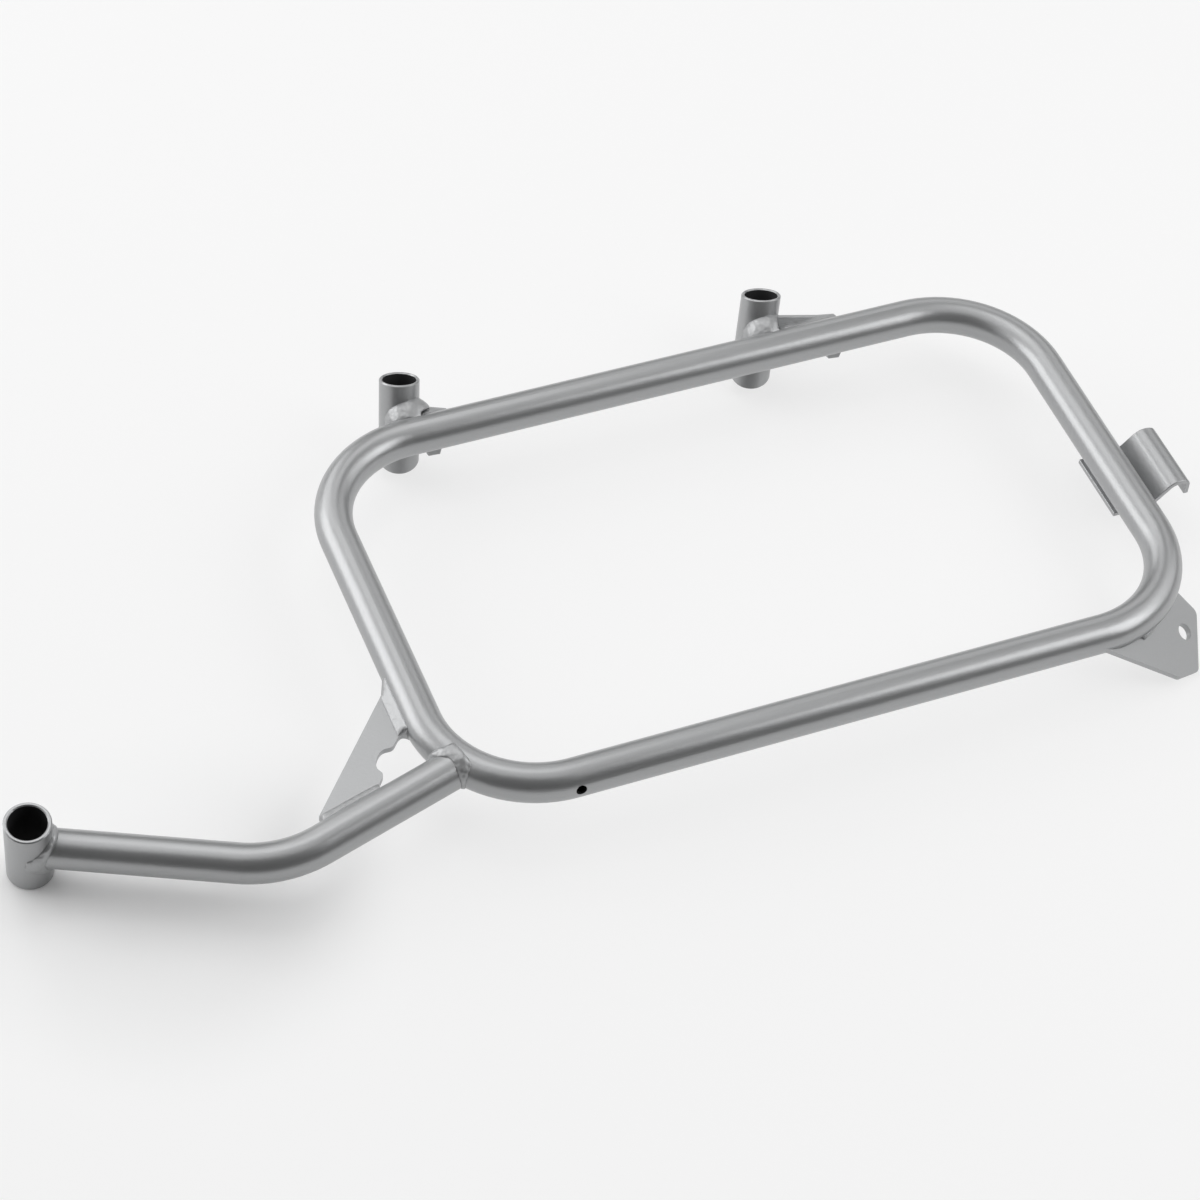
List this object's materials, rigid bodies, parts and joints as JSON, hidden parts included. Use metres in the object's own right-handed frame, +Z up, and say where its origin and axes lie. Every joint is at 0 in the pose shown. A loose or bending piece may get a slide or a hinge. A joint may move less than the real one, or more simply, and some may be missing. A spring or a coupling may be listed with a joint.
{
  "type": "pannier frame",
  "caption": "Welded motorbike pannier frame: rounded loop of round steel tube with bored mounting sleeves, bent arm, gusset, hook clip and drilled corner lug, painted silver grey.",
  "frame": {"origin": "bottom centre of the bounding box, on the floor the frame lies on", "axes": "+X along the front side of the loop, away from the arm; +Y to the side with the upper sleeves; +Z up, square to the loop"},
  "size_m": [0.59, 0.2714, 0.0482],
  "materials": {
    "silver_paint": "satin silver grey paint over steel and its weld beads"
  },
  "bodies": {
    "root": {"loop_tube": "silver_paint", "arm_tube": "silver_paint", "arm_sleeve": "silver_paint", "gusset_plate": "silver_paint", "left_sleeve": "silver_paint", "right_sleeve": "silver_paint", "left_strap": "silver_paint", "right_strap": "silver_paint", "hook_clip": "silver_paint", "corner_lug": "silver_paint", "weld_arm_loop": "silver_paint", "weld_arm_sleeve": "silver_paint", "weld_left_sleeve": "silver_paint", "weld_right_sleeve": "silver_paint", "weld_gusset_loop_top": "silver_paint", "weld_gusset_loop_low": "silver_paint", "weld_gusset_arm_top": "silver_paint", "weld_gusset_arm_low": "silver_paint", "weld_left_strap": "silver_paint", "weld_right_strap": "silver_paint", "weld_clip_inner": "silver_paint", "weld_clip_outer": "silver_paint", "weld_lug_top": "silver_paint", "weld_lug_low": "silver_paint"}
  },
  "joints": []
}
